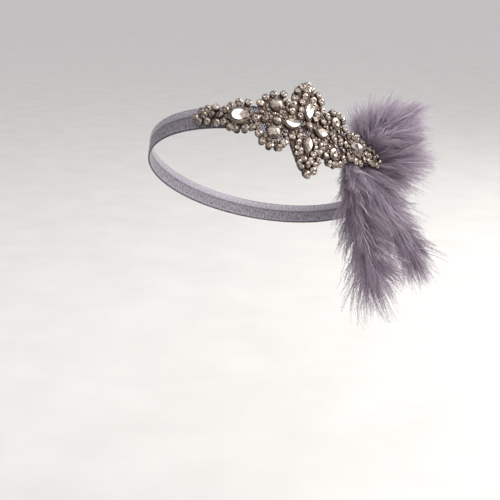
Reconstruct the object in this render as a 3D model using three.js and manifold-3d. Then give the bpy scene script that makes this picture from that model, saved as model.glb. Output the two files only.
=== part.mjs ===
// Flapper headband: a lilac elastic loop worn tilted on the head, with a long ornament of claw-set
// stones on a felt backing, and marabou plumes tucked behind the ornament's left end.
// Millimetres, +Z up, the face looks along -Y and the wearer's left is +X.
// The origin is the centre of the loop, where the head goes in.
import * as THREE from 'three';
import { mergeVertices } from 'three/addons/utils/BufferGeometryUtils.js';
import Module from 'manifold-3d';

const wasm = await Module();
wasm.setup();

// Loop: inside half axes, and how it sits when worn, front up and wearer's left up.
const HEAD = { halfWidth: 72, halfLength: 94 };
const WORN = { frontUpDeg: 30.5, leftUpDeg: 9.2 };

// Elastic band. The fold line is a groove on the outside, above the middle.
const BAND = { width: 14, thickness: 1.2, segments: 50 };
const FOLD = { height: 1.6, width: 1.4, depth: 0.35 };

// Ornament: where its middle sits on the loop, counted from the front towards the wearer's left,
// and where its left half leaves the head and runs on nearly straight over the feather quills.
const ORNAMENT = { middleDeg: 49.2, freeFrom: 20, freeRadius: 470, halfLength: 70 };
const GAP = 0.3;
const WELD = 1e-4;

// Layers of the ornament, from the head outwards. The sheets end a little short of their points.
const FELT = { thickness: 1.2, margin: 1.0, least: 1.2, step: 3 };
const WEB = { thickness: 0.7, margin: 0.5, least: 0.6, step: 4 };
const TIP_TRIM = 0.3;
const FELT_BACK = BAND.thickness + GAP;
const FELT_FRONT = FELT_BACK + FELT.thickness;
const WEB_BACK = FELT_FRONT + GAP;
const WEB_FRONT = WEB_BACK + WEB.thickness;
const STONE_SEAT = WEB_FRONT + GAP;

// Cut of the small stones in their claw cups, as shares of the stone's radius.
const CUP = { sink: 0.4, sides: 8, cupHeight: 0.75, crownHeight: 0.4, table: 0.55 };

// Small stones on one quarter of the ornament: along from its middle, up from its centre line.
// Each row is repeated left and right, and above and below.
const SMALL_STONES = [
  // Point of the wing
  { along: 67.6, up: 0, radius: 2.1 },
  { along: 64.2, up: 3.2, radius: 2.1 },
  { along: 59.8, up: 4.6, radius: 2.1 },
  { along: 60.9, up: 0, radius: 2.1 },
  { along: 56.4, up: 0, radius: 2.1 },
  { along: 55.2, up: 4.3, radius: 2.1 },
  { along: 52.0, up: 0, radius: 2.1 },
  // Round the oval
  { along: 50.0, up: 4.2, radius: 2.1 },
  { along: 46.8, up: 7.3, radius: 2.1 },
  { along: 42.4, up: 8.7, radius: 2.1 },
  { along: 37.9, up: 8.3, radius: 2.1 },
  { along: 32.2, up: 0, radius: 2.1 },
  // Flower
  { along: 29.8, up: 9.6, radius: 2.2 },
  { along: 27.5, up: 14.5, radius: 2.2 },
  { along: 23.1, up: 16.9, radius: 2.2 },
  { along: 18.2, up: 16.6, radius: 2.2 },
  { along: 14.2, up: 13.4, radius: 2.2 },
  { along: 26.6, up: 0, radius: 2.1 },
];

// Small stones of the star's petals, which lean: their points stand to one side of the middle.
const PETAL_RADIUS = 2.1;
const PETAL_STONES = [
  // Upper petal, edge
  { along: -10, up: 8.5, radius: PETAL_RADIUS },
  { along: -10.1, up: 13.2, radius: PETAL_RADIUS },
  { along: -9.4, up: 17.7, radius: PETAL_RADIUS },
  { along: -8.1, up: 22, radius: PETAL_RADIUS },
  { along: -6, up: 25.9, radius: PETAL_RADIUS },
  { along: -2.4, up: 28.6, radius: PETAL_RADIUS },
  { along: 1.8, up: 26.2, radius: PETAL_RADIUS },
  { along: 5.4, up: 23.8, radius: PETAL_RADIUS },
  { along: 8.2, up: 20, radius: PETAL_RADIUS },
  { along: 10.3, up: 15.7, radius: PETAL_RADIUS },
  { along: 9.2, up: 11.7, radius: PETAL_RADIUS },
  { along: 11, up: 7.6, radius: PETAL_RADIUS },
  // Upper petal, second row
  { along: -5.2, up: 6.5, radius: PETAL_RADIUS },
  { along: -6, up: 11, radius: PETAL_RADIUS },
  { along: -5.4, up: 15.5, radius: PETAL_RADIUS },
  { along: -3.8, up: 19.9, radius: PETAL_RADIUS },
  { along: -1.8, up: 23.6, radius: PETAL_RADIUS },
  { along: 1.7, up: 19.3, radius: PETAL_RADIUS },
  { along: 3.7, up: 15.5, radius: PETAL_RADIUS },
  { along: 5.3, up: 11, radius: PETAL_RADIUS },
  { along: 5.2, up: 6.5, radius: PETAL_RADIUS },
  // Lower petal, edge
  { along: -9.2, up: -8.5, radius: PETAL_RADIUS },
  { along: -7.9, up: -13.2, radius: PETAL_RADIUS },
  { along: -6.4, up: -17.5, radius: PETAL_RADIUS },
  { along: -4.2, up: -21.6, radius: PETAL_RADIUS },
  { along: -1.6, up: -25.4, radius: PETAL_RADIUS },
  { along: 1.6, up: -28.6, radius: PETAL_RADIUS },
  { along: 5.3, up: -25.9, radius: PETAL_RADIUS },
  { along: 7.6, up: -22, radius: PETAL_RADIUS },
  { along: 9.1, up: -17.7, radius: PETAL_RADIUS },
  { along: 9.9, up: -13.2, radius: PETAL_RADIUS },
  { along: 9.8, up: -8.5, radius: PETAL_RADIUS },
  // Lower petal, second row
  { along: -5.2, up: -6.5, radius: PETAL_RADIUS },
  { along: -5.4, up: -10.8, radius: PETAL_RADIUS },
  { along: -3.9, up: -15.4, radius: PETAL_RADIUS },
  { along: -1.3, up: -19.7, radius: PETAL_RADIUS },
  { along: 1.6, up: -23.5, radius: PETAL_RADIUS },
  { along: 3.3, up: -19.9, radius: PETAL_RADIUS },
  { along: 5.1, up: -15.5, radius: PETAL_RADIUS },
  { along: 6.2, up: -11, radius: PETAL_RADIUS },
  { along: 5.2, up: -6.5, radius: PETAL_RADIUS },
];

// Large stones, with their half sizes along the ornament and up. A navette is pointed at both ends.
const LARGE_STONES = [
  { name: 'oval_left', along: -41.8, up: 0, halfAlong: 7.0, halfUp: 5.6, cut: 'haloed' },
  { name: 'oval_right', along: 41.8, up: 0, halfAlong: 7.0, halfUp: 5.6, cut: 'haloed' },
  { name: 'rosette_upper_left', along: -21.2, up: 10.2, halfAlong: 4.0, halfUp: 4.0, cut: 'round' },
  { name: 'rosette_upper_right', along: 21.2, up: 10.2, halfAlong: 4.0, halfUp: 4.0, cut: 'round' },
  { name: 'rosette_lower_left', along: -21.3, up: -7.7, halfAlong: 4.0, halfUp: 4.0, cut: 'round' },
  { name: 'rosette_lower_right', along: 21.2, up: -10.2, halfAlong: 4.0, halfUp: 4.0, cut: 'round' },
  { name: 'inner_round_left', along: -20.0, up: 0, halfAlong: 2.5, halfUp: 2.5, cut: 'round' },
  { name: 'inner_round_right', along: 20.0, up: 0, halfAlong: 2.5, halfUp: 2.5, cut: 'round' },
  { name: 'navette_left', along: -10.8, up: 0, halfAlong: 5.8, halfUp: 3.1, cut: 'pointedAlong' },
  { name: 'navette_right', along: 9.7, up: 0.1, halfAlong: 4.9, halfUp: 3.1, cut: 'pointedAlong' },
  { name: 'navette_upper', along: -0.4, up: 11, halfAlong: 3.1, halfUp: 6.2, cut: 'pointedUp' },
  { name: 'navette_lower', along: 0.6, up: -10.6, halfAlong: 3.1, halfUp: 6.2, cut: 'pointedUp' },
  { name: 'center_round', along: 1.0, up: 2.1, halfAlong: 2.4, halfUp: 2.4, cut: 'round' },
];

// Profiles of the large stones: reach is a share of the half size, height is in millimetres.
const PROFILES = {
  plain: [
    { reach: 0, height: 0 },
    { reach: 0.94, height: 0 },
    { reach: 1, height: 1.5 },
    { reach: 0.62, height: 2.8 },
    { reach: 0, height: 2.8 },
  ],
  haloed: [
    { reach: 0, height: 0 },
    { reach: 0.96, height: 0 },
    { reach: 1, height: 1.2 },
    { reach: 0.86, height: 1.7 },
    { reach: 0.74, height: 1.4 },
    { reach: 0.7, height: 2.0 },
    { reach: 0.45, height: 3.3 },
    { reach: 0, height: 3.3 },
  ],
};
const LARGE_SIDES = 12;

// Feathers. The quill starts behind the felt, at a place along and up the ornament, and leads off flat
// behind it. Bend and tip are steps from the start, in the directions left, back and up. Barbs fall
// into locks on both sides of the quill, which leave it at an angle, from its base to its tip.
const QUILL = { radius: 1.0, tipRadius: 0.5, sides: 4, steps: 5 };
const QUILL_DEPTH = FELT_BACK - GAP - QUILL.radius;
const LOCK = { halfWidth: 7.5, halfThickness: 3.2, sides: 4, steps: 3, last: 0.88 };
// A lock is narrow at both ends, and bends: its middle lies nearer the quill's side than its end does.
const LOCK_FORM = { narrowest: 0.25, swellFrom: 0.12, swellTo: 0.98, forward: 0.3, aside: 0.7 };
const PLUMES = [
  {
    name: 'plume_upper',
    feathers: [
      {
        along: 57, up: 3, lead: [2, 11], bend: [0, 11, 17], tip: [20, 32, 15], first: 0.3,
        perSide: 3, baseAngle: 76, tipAngle: 34, baseLength: 30, tipLength: 19, lean: 3,
      },
      {
        along: 60, up: -1, lead: [8, 0], bend: [5, 20, -3], tip: [27, 40, -1], first: 0.46,
        perSide: 3, baseAngle: 54, tipAngle: 18, baseLength: 36, tipLength: 20, lean: 9,
      },
    ],
  },
  {
    name: 'plume_lower',
    feathers: [
      {
        along: 49, up: -4, lead: [0, -10], bend: [0, -2, -50], tip: [15, 20, -104], first: 0.22,
        perSide: 4, baseAngle: 34, tipAngle: 26, baseLength: 38, tipLength: 32, lean: 3,
      },
      {
        along: 54, up: -4, lead: [3, -10], bend: [10, 17, -33], tip: [35, 58, -92], first: 0.22,
        perSide: 4, baseAngle: 42, tipAngle: 18, baseLength: 40, tipLength: 26, lean: -6,
      },
    ],
  },
];

const COLOURS = {
  elastic: { color: 0xb9b2c4, roughness: 0.55, metalness: 0 },
  felt: { color: 0x8f869c, roughness: 0.95, metalness: 0 },
  setting: { color: 0x8c7f74, roughness: 0.35, metalness: 0.8 },
  crystal: { color: 0xd9d4cc, roughness: 0.08, metalness: 0.1 },
  marabou: { color: 0x9c8fa6, roughness: 0.9, metalness: 0 },
};

// Loop curve, starting at the middle of the ornament and running towards the wearer's left and back.
const start = THREE.MathUtils.degToRad(ORNAMENT.middleDeg - 90);
const loopCurve = new THREE.EllipseCurve(
  0, 0, HEAD.halfWidth, HEAD.halfLength, start, start + 2 * Math.PI,
);
loopCurve.arcLengthDivisions = 1440;
const loopLength = loopCurve.getLength();

// Point and direction on the inside of the band, a length along from the middle of the ornament.
function onLoop(along) {
  const share = THREE.MathUtils.euclideanModulo(along / loopLength, 1);
  return { point: loopCurve.getPointAt(share), tangent: loopCurve.getTangentAt(share) };
}

// The same for the ornament, which leaves the band and follows a flatter arc.
function onOrnament(along) {
  if (along <= ORNAMENT.freeFrom) return onLoop(along);
  const leave = onLoop(ORNAMENT.freeFrom);
  const turn = (along - ORNAMENT.freeFrom) / ORNAMENT.freeRadius;
  const centre = new THREE.Vector2(-leave.tangent.y, leave.tangent.x)
    .multiplyScalar(ORNAMENT.freeRadius)
    .add(leave.point);
  return {
    point: leave.point.clone().rotateAround(centre, turn),
    tangent: leave.tangent.clone().rotateAround(new THREE.Vector2(), turn),
  };
}

// Point in the loop's frame from lengths along a path, up the loop's axis and outwards.
function placed(path, along, up, out) {
  const { point, tangent } = path(along);
  return new THREE.Vector3(point.x + tangent.y * out, point.y - tangent.x * out, up);
}

// Frame of a stone: x along the ornament, y up, z outwards.
function stoneFrame(along, up, out) {
  const { tangent } = onOrnament(along);
  const frame = new THREE.Matrix4().makeBasis(
    new THREE.Vector3(tangent.x, tangent.y, 0),
    new THREE.Vector3(0, 0, 1),
    new THREE.Vector3(tangent.y, -tangent.x, 0),
  );
  return frame.setPosition(placed(onOrnament, along, up, out));
}

// Moves every vertex of a geometry by a function from Vector3 to Vector3.
function mapped(geometry, move) {
  const position = geometry.getAttribute('position');
  const vertex = new THREE.Vector3();
  for (let i = 0; i < position.count; i++) {
    const to = move(vertex.fromBufferAttribute(position, i));
    position.setXYZ(i, to.x, to.y, to.z);
  }
  return geometry;
}

function solidOf(geometry) {
  const bare = new THREE.BufferGeometry();
  bare.setAttribute('position', geometry.getAttribute('position'));
  bare.setIndex(geometry.getIndex());
  const merged = mergeVertices(bare, WELD);
  return new wasm.Manifold(new wasm.Mesh({
    numProp: 3,
    vertProperties: merged.getAttribute('position').array,
    triVerts: new Uint32Array(merged.getIndex().array),
  }));
}

function geometryOf(solid) {
  const mesh = solid.getMesh();
  const geometry = new THREE.BufferGeometry();
  geometry.setAttribute('position', new THREE.BufferAttribute(mesh.vertProperties, 3));
  geometry.setIndex(new THREE.BufferAttribute(mesh.triVerts, 1));
  geometry.computeVertexNormals();
  return geometry;
}

// Joins solids into one body and keeps its outer skin, so that small hollows inside it are filled.
function fused(solids) {
  const skins = solids.reduce((whole, piece) => whole.add(piece)).decompose();
  const bodies = skins.filter((skin) => skin.volume() > 0);
  if (bodies.length !== 1) throw new Error(`${bodies.length} bodies do not meet`);
  return bodies[0];
}

function named(name, geometry, colour) {
  const mesh = new THREE.Mesh(geometry, new THREE.MeshStandardMaterial(colour));
  mesh.name = name;
  return mesh;
}

// Elastic band: a flat section with a fold groove, turned round an axis and then laid on the loop.
function makeBand() {
  const nominal = 100;
  const half = BAND.width / 2;
  const section = [
    [0, -half],
    [BAND.thickness, -half],
    [BAND.thickness, FOLD.height - FOLD.width / 2],
    [BAND.thickness - FOLD.depth, FOLD.height],
    [BAND.thickness, FOLD.height + FOLD.width / 2],
    [BAND.thickness, half],
    [0, half],
    [0, -half],
  ];
  const profile = section.map(([out, up]) => new THREE.Vector2(nominal + out, up));
  const ring = new THREE.LatheGeometry(profile, BAND.segments);
  return mapped(ring, (v) => {
    const round = Math.atan2(v.x, v.z) / (2 * Math.PI);
    return placed(onLoop, round * loopLength, v.y, Math.hypot(v.x, v.z) - nominal);
  });
}

// A quarter of small stones, repeated on all four sides of the ornament's middle.
function mirrored(stones) {
  return stones.flatMap(({ along, up, radius }) => {
    const alongs = along === 0 ? [0] : [along, -along];
    const ups = up === 0 ? [0] : [up, -up];
    return alongs.flatMap((a) => ups.map((u) => ({ along: a, up: u, radius })));
  });
}
const smallStones = [...mirrored(SMALL_STONES), ...PETAL_STONES];

// Height of the ornament's edge above (side 1) or below (side -1) its centre line.
function edge(along, side, margin, least) {
  const round = smallStones.map(({ along: a, up, radius }) => ({ a, up, w: radius, h: radius }));
  const large = LARGE_STONES.map(({ along: a, up, halfAlong, halfUp }) => (
    { a, up, w: halfAlong, h: halfUp }
  ));
  const reaches = [...round, ...large].map(({ a, up, w, h }) => {
    const share = (along - a) / (w + margin);
    return Math.abs(share) < 1 ? side * up + (h + margin) * Math.sqrt(1 - share * share) : least;
  });
  return side * Math.max(least, ...reaches);
}

// A sheet with the ornament's scalloped outline, between two distances from the head.
function makeSheet(back, front, { margin, least, step }) {
  const length = 2 * (ORNAMENT.halfLength + margin - TIP_TRIM);
  const slab = new THREE.BoxGeometry(length, 1, 1, Math.round(length / step), 1, 1);
  return mapped(slab, (v) => {
    const up = edge(v.x, Math.sign(v.y), margin, least);
    return placed(onOrnament, v.x, up, v.z > 0 ? front : back);
  });
}

// A turned profile standing on z = 0, with its flats facing up and along.
function turned(points, sides) {
  const profile = points.map(({ reach, height }) => new THREE.Vector2(reach, height));
  return new THREE.LatheGeometry(profile, sides).rotateX(Math.PI / 2);
}

function makeSmallStones() {
  const web = solidOf(makeSheet(WEB_BACK, WEB_FRONT, WEB));
  const cups = smallStones.map(({ along, up, radius }) => {
    const girdle = CUP.sink + CUP.cupHeight * radius;
    const stone = turned([
      { reach: 0, height: 0 },
      { reach: radius, height: 0 },
      { reach: radius, height: girdle },
      { reach: CUP.table * radius, height: girdle + CUP.crownHeight * radius },
      { reach: 0, height: girdle + CUP.crownHeight * radius },
    ], CUP.sides);
    return solidOf(stone.applyMatrix4(stoneFrame(along, up, WEB_FRONT - CUP.sink)));
  });
  return geometryOf(fused([web, ...cups]));
}

function makeLargeStone({ along, up, halfAlong, halfUp, cut }) {
  const profile = cut === 'haloed' ? PROFILES.haloed : PROFILES.plain;
  const stone = mapped(turned(profile, LARGE_SIDES), (v) => {
    const reach = Math.hypot(v.x, v.y) || 1;
    const narrowAlong = cut === 'pointedUp' ? Math.abs(v.x) / reach : 1;
    const narrowUp = cut === 'pointedAlong' ? Math.abs(v.y) / reach : 1;
    return new THREE.Vector3(v.x * halfAlong * narrowAlong, v.y * halfUp * narrowUp, v.z);
  });
  return stone.applyMatrix4(stoneFrame(along, up, STONE_SEAT));
}

// A tapered rod along a curve: wide and thick are half sizes across the curve, by share of length.
function tapered(curve, wideTowards, sides, steps, wide, thick) {
  const rod = new THREE.CylinderGeometry(1, 1, 1, sides, steps);
  return mapped(rod, (v) => {
    const share = v.y + 0.5;
    const along = curve.getTangent(share);
    const across = wideTowards.clone().addScaledVector(along, -wideTowards.dot(along)).normalize();
    const through = across.clone().cross(along);
    return curve.getPoint(share)
      .addScaledVector(across, v.x * wide(share))
      .addScaledVector(through, v.z * thick(share));
  });
}

// A lock of barbs leaves the quill at an angle and bends back towards the quill's own direction.
function makeLock(quill, share, side, feather) {
  const root = quill.getPoint(share);
  const along = quill.getTangent(share);
  const spread = (share - feather.first) / (LOCK.last - feather.first);
  const angle = THREE.MathUtils.degToRad(
    THREE.MathUtils.lerp(feather.baseAngle, feather.tipAngle, spread),
  );
  const length = THREE.MathUtils.lerp(feather.baseLength, feather.tipLength, spread);
  const sideways = feather.face.clone().cross(along).normalize().multiplyScalar(side);
  const step = (forward, aside) => root.clone()
    .addScaledVector(along, forward * length)
    .addScaledVector(sideways, aside * length)
    .addScaledVector(feather.face, feather.lean * aside);
  const path = new THREE.QuadraticBezierCurve3(
    root,
    step(LOCK_FORM.forward * Math.cos(angle), LOCK_FORM.aside * Math.sin(angle)),
    step(Math.cos(angle), Math.sin(angle)),
  );
  const { narrowest, swellFrom, swellTo } = LOCK_FORM;
  const swell = (s) => (
    narrowest + (1 - narrowest) * Math.sin(Math.PI * THREE.MathUtils.lerp(swellFrom, swellTo, s))
  );
  return solidOf(tapered(
    path, sideways, LOCK.sides, LOCK.steps,
    (s) => LOCK.halfWidth * swell(s),
    (s) => LOCK.halfThickness * swell(s),
  ));
}

function quillSeat({ along, up }, wornFrame) {
  return placed(onOrnament, along, up, QUILL_DEPTH).applyMatrix4(wornFrame);
}

function makeFeather(feather, wornFrame) {
  const { along, up, lead, bend, tip, perSide } = feather;
  const seat = quillSeat(feather, wornFrame);
  const quill = new THREE.CubicBezierCurve3(
    seat,
    quillSeat({ along: along + lead[0], up: up + lead[1] }, wornFrame),
    seat.clone().add(new THREE.Vector3(...bend)),
    seat.clone().add(new THREE.Vector3(...tip)),
  );
  const face = new THREE.Vector3().setFromMatrixColumn(stoneFrame(along, up, 0), 2)
    .transformDirection(wornFrame);
  const taper = (s) => THREE.MathUtils.lerp(QUILL.radius, QUILL.tipRadius, s);
  const shaft = tapered(quill, face, QUILL.sides, QUILL.steps, taper, taper);
  const locks = Array.from({ length: perSide * 2 }, (_, i) => {
    const share = THREE.MathUtils.lerp(feather.first, LOCK.last, i / (perSide * 2 - 1));
    return makeLock(quill, share, i % 2 ? 1 : -1, { ...feather, face });
  });
  return [solidOf(shaft), ...locks];
}

// The quills of a plume are bound together by a short cross piece behind the felt.
function makePlume({ feathers }, wornFrame) {
  const ends = feathers.map((feather) => quillSeat(feather, wornFrame));
  const binding = tapered(
    new THREE.LineCurve3(...ends), new THREE.Vector3(0, 0, 1), QUILL.sides, 1,
    () => QUILL.radius, () => QUILL.radius,
  );
  const solids = feathers.flatMap((feather) => makeFeather(feather, wornFrame));
  return geometryOf(fused([solidOf(binding), ...solids]));
}

const headband = new THREE.Group();
const worn = new THREE.Group();
worn.rotation.set(
  -THREE.MathUtils.degToRad(WORN.frontUpDeg), -THREE.MathUtils.degToRad(WORN.leftUpDeg), 0, 'YXZ',
);
worn.updateMatrixWorld(true);
headband.add(worn);

worn.add(named('band', makeBand(), COLOURS.elastic));
worn.add(named('backing', makeSheet(FELT_BACK, FELT_FRONT, FELT), COLOURS.felt));
worn.add(named('stones', makeSmallStones(), COLOURS.setting));
for (const stone of LARGE_STONES) {
  worn.add(named(stone.name, makeLargeStone(stone), COLOURS.crystal));
}

// The feathers hang in the wearer's own directions, so they are not turned with the loop.
for (const plume of PLUMES) {
  headband.add(named(plume.name, makePlume(plume, worn.matrixWorld), COLOURS.marabou));
}

export default headband;
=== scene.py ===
# %% [markdown]
# # Flapper headband
# A loop of lilac elastic is worn tilted. A long ornament of claw-set stones on felt sits over the
# wearer's left temple, and marabou feathers are tucked behind its end.
# This lesson dresses the plain solids of the part: every soft or glittering piece is modelled again
# with the detail that the eye expects, in the same place and at the same size.

# %% Load the frame
import math

import bpy
import numpy as np
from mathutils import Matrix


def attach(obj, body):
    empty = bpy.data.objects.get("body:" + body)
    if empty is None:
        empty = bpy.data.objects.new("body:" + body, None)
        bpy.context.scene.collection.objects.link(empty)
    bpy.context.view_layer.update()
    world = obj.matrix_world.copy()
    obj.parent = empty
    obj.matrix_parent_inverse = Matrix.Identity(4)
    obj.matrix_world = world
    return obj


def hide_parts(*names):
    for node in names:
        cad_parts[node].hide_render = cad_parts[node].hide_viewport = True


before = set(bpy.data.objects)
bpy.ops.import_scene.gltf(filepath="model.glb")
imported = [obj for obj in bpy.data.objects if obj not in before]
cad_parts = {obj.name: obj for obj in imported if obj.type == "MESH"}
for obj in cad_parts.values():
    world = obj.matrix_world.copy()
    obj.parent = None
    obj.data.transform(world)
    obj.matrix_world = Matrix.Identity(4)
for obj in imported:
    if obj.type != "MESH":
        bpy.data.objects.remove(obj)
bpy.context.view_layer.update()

MM = 0.001
print("solids in the frame:", len(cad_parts))

# %% [markdown]
# ## Small tools
# Meshes here have many small parts that repeat, so they are made from arrays of numbers in one go.
# Bmesh would also do, but it is slow for nearly a million triangles. Arrays hold millimetres, and one
# function turns them into a mesh in metres that rides on the part.


# %% Meshes from arrays
def make_piece(name, points, faces, finish, slot, stands_for, smooth=True, uv=None, facet=None):
    """One mesh from points in millimetres and faces that all have the same number of corners."""
    faces = np.asarray(faces, np.int32)
    mesh = bpy.data.meshes.new(name)
    mesh.vertices.add(len(points))
    mesh.vertices.foreach_set("co", (np.asarray(points) * MM).astype(np.float32).ravel())
    mesh.loops.add(faces.size)
    mesh.loops.foreach_set("vertex_index", faces.ravel())
    mesh.polygons.add(len(faces))
    mesh.polygons.foreach_set("loop_start", np.arange(0, faces.size, faces.shape[1], dtype=np.int32))
    mesh.polygons.foreach_set("use_smooth", np.full(len(faces), smooth))
    mesh.update(calc_edges=True)
    if uv is not None:
        layer = mesh.uv_layers.new(name="OFBake")
        layer.data.foreach_set("uv", uv[faces.ravel()].astype(np.float32).ravel())
    if facet is not None:
        shade = mesh.attributes.new("facet", "FLOAT", "FACE")
        shade.data.foreach_set("value", facet.astype(np.float32))
    mesh.materials.append(finish)
    piece = bpy.data.objects.new(name, mesh)
    bpy.context.scene.collection.objects.link(piece)
    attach(piece, "root")
    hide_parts(*stands_for)
    triangles = len(faces) * (faces.shape[1] - 2)
    print(f"{name}: {triangles} triangles")
    return piece


def grid_faces(rows, columns, closed_rows=False, closed_columns=False):
    """Four-cornered faces of a grid of points, which may close on itself either way."""
    row = np.arange(rows if closed_rows else rows - 1)
    column = np.arange(columns if closed_columns else columns - 1)
    row, column = np.meshgrid(row, column, indexing="ij")
    next_row = (row + 1) % rows
    next_column = (column + 1) % columns
    corners = [(row, column), (row, next_column), (next_row, next_column), (next_row, column)]
    return np.stack([r * columns + c for r, c in corners], -1).reshape(-1, 4)


def joined(shapes):
    """Many shapes, each of points and faces, as one shape."""
    starts = np.cumsum([0] + [len(points) for points, _ in shapes])
    faces = [faces + start for (_, faces), start in zip(shapes, starts)]
    return np.concatenate([points for points, _ in shapes]), np.concatenate(faces)


def unit(vectors):
    return vectors / np.linalg.norm(vectors, axis=-1, keepdims=True)


# %% [markdown]
# Shaders are trees of nodes. One function adds a node, sets what it is told, and makes a link where
# a value is another node's output. Colours are written as sRGB hex values, as in a paint program,
# and turned to the linear numbers that the renderer works with.


# %% Colours and nodes
def hex_colour(text):
    srgb = np.array([int(text[i:i + 2], 16) for i in (0, 2, 4)]) / 255
    linear = np.where(srgb <= 0.04045, srgb / 12.92, ((srgb + 0.055) / 1.055) ** 2.4)
    return (*linear, 1.0)


def add_node(tree, kind, inputs=None, stops=None, **settings):
    """Adds a node. Inputs are values or other nodes' outputs, and stops are a ramp's (place, hex)."""
    node = tree.nodes.new(kind)
    for name, value in settings.items():
        setattr(node, name, value)
    for name, value in (inputs or {}).items():
        if isinstance(value, bpy.types.NodeSocket):
            tree.links.new(value, node.inputs[name])
        else:
            node.inputs[name].default_value = value
    for i, (place, colour) in enumerate(stops or []):
        elements = node.color_ramp.elements
        element = elements[i] if i < 2 else elements.new(place)
        element.position = place
        element.color = hex_colour(colour)
    return node


def start_finish(name, **sockets):
    """A new material with its main shader, whose plain sockets are set by name."""
    finish = bpy.data.materials.new(name)
    finish.use_nodes = True
    shader = finish.node_tree.nodes["Principled BSDF"]
    for socket, value in sockets.items():
        shader.inputs[socket.replace("_", " ")].default_value = value
    return finish, finish.node_tree, shader


def mottle(tree, shader, patch_mm, detail, stops):
    """Colours a finish by noise whose patches have a real size, and returns the noise."""
    place = add_node(tree, "ShaderNodeTexCoord")
    patches = add_node(tree, "ShaderNodeTexNoise", {
        "Vector": place.outputs["Object"], "Scale": 1 / (patch_mm * MM), "Detail": detail,
    })
    colour = add_node(tree, "ShaderNodeValToRGB", {"Fac": patches.outputs["Fac"]}, stops)
    tree.links.new(colour.outputs["Color"], shader.inputs["Base Color"])
    return patches


# %% [markdown]
# ## Camera
# The picture is square, and the headband is seen from the wearer's left front and a little above.
# A focal length of twice the picture's width is a long lens, which keeps the loop from looking
# stretched. The camera is placed so that the middle of the loop falls on the right pixel.

# %% Camera
PICTURE_PX = 500
FOCAL_PX = 1000
SENSOR_MM = 36.0
LOOP_MIDDLE_PX = (264.2, 171.8)
CAMERA_DISTANCE = 690.2
CAMERA_LEFT_DEG = 24.0
CAMERA_DOWN_DEG = 16.0

turn = math.radians(CAMERA_LEFT_DEG)
dip = math.radians(CAMERA_DOWN_DEG)
view_right = np.array([math.cos(turn), math.sin(turn), 0])
view_ahead = np.array([
    -math.sin(turn) * math.cos(dip),
    math.cos(turn) * math.cos(dip),
    -math.sin(dip),
])
view_up = np.cross(view_right, view_ahead)
px_right = (LOOP_MIDDLE_PX[0] - PICTURE_PX / 2) / FOCAL_PX
px_up = (PICTURE_PX / 2 - LOOP_MIDDLE_PX[1]) / FOCAL_PX
camera_place = -CAMERA_DISTANCE * (view_right * px_right + view_up * px_up + view_ahead)

camera = bpy.data.objects.new("camera", bpy.data.cameras.new("camera"))
camera.data.sensor_width = SENSOR_MM
camera.data.lens = SENSOR_MM * FOCAL_PX / PICTURE_PX
camera.location = camera_place * MM
camera.rotation_euler = (math.pi / 2 - dip, 0, turn)
bpy.context.scene.collection.objects.link(camera)
bpy.context.scene.camera = camera
print("camera at", np.round(camera_place), "mm, lens", camera.data.lens, "mm")

# %% [markdown]
# ## Where things sit on the loop
# Everything on the band is easiest to place by three lengths: along the loop from the middle of the
# ornament, up the loop's own axis, and outwards from the inside of the elastic. The loop is an
# ellipse, tilted as it is worn. The half of the ornament that is further to the wearer's left leaves
# it and runs on straighter.

# %% Loop and ornament
LOOP_HALF_WIDTH = 72.0
LOOP_HALF_LENGTH = 94.0
FRONT_UP_DEG = 30.5
LEFT_UP_DEG = 9.2
ORNAMENT_MIDDLE_DEG = 49.2
ORNAMENT_HALF_LENGTH = 70.0
FREE_FROM = 20.0
FREE_RADIUS = 470.0
LOOP_POINTS = 1441

tip_back = math.radians(FRONT_UP_DEG)
tip_side = math.radians(LEFT_UP_DEG)
about_x = np.array([
    [1, 0, 0],
    [0, math.cos(tip_back), math.sin(tip_back)],
    [0, -math.sin(tip_back), math.cos(tip_back)],
])
about_y = np.array([
    [math.cos(tip_side), 0, -math.sin(tip_side)],
    [0, 1, 0],
    [math.sin(tip_side), 0, math.cos(tip_side)],
])
WORN = about_y @ about_x

loop_angle = math.radians(ORNAMENT_MIDDLE_DEG - 90) + np.linspace(0, 2 * math.pi, LOOP_POINTS)
loop_line = np.stack([LOOP_HALF_WIDTH * np.cos(loop_angle), LOOP_HALF_LENGTH * np.sin(loop_angle)], -1)
loop_run = np.concatenate([[0], np.cumsum(np.linalg.norm(np.diff(loop_line, axis=0), axis=1))])
LOOP_LENGTH = loop_run[-1]


def on_loop(along):
    """Points and directions on the inside of the elastic, in the loop's own plane."""
    angle = np.interp(np.asarray(along) % LOOP_LENGTH, loop_run, loop_angle)
    point = np.stack([LOOP_HALF_WIDTH * np.cos(angle), LOOP_HALF_LENGTH * np.sin(angle)], -1)
    ahead = np.stack([-LOOP_HALF_WIDTH * np.sin(angle), LOOP_HALF_LENGTH * np.cos(angle)], -1)
    return point, unit(ahead)


# Where the ornament leaves the loop, the direction it leaves in, and the way to its arc's middle.
leave, leave_ahead = on_loop(FREE_FROM)
inwards = np.array([-leave_ahead[1], leave_ahead[0]])


def on_ornament(along):
    """The same for the ornament, whose far half follows a flatter arc."""
    along = np.asarray(along, float)
    point, ahead = on_loop(np.minimum(along, FREE_FROM))
    swing = np.maximum(along - FREE_FROM, 0)[..., None] / FREE_RADIUS
    arc = leave + FREE_RADIUS * (leave_ahead * np.sin(swing) + inwards * (1 - np.cos(swing)))
    arc_ahead = leave_ahead * np.cos(swing) + inwards * np.sin(swing)
    is_free = along[..., None] > FREE_FROM
    return np.where(is_free, arc, point), np.where(is_free, arc_ahead, ahead)


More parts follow.
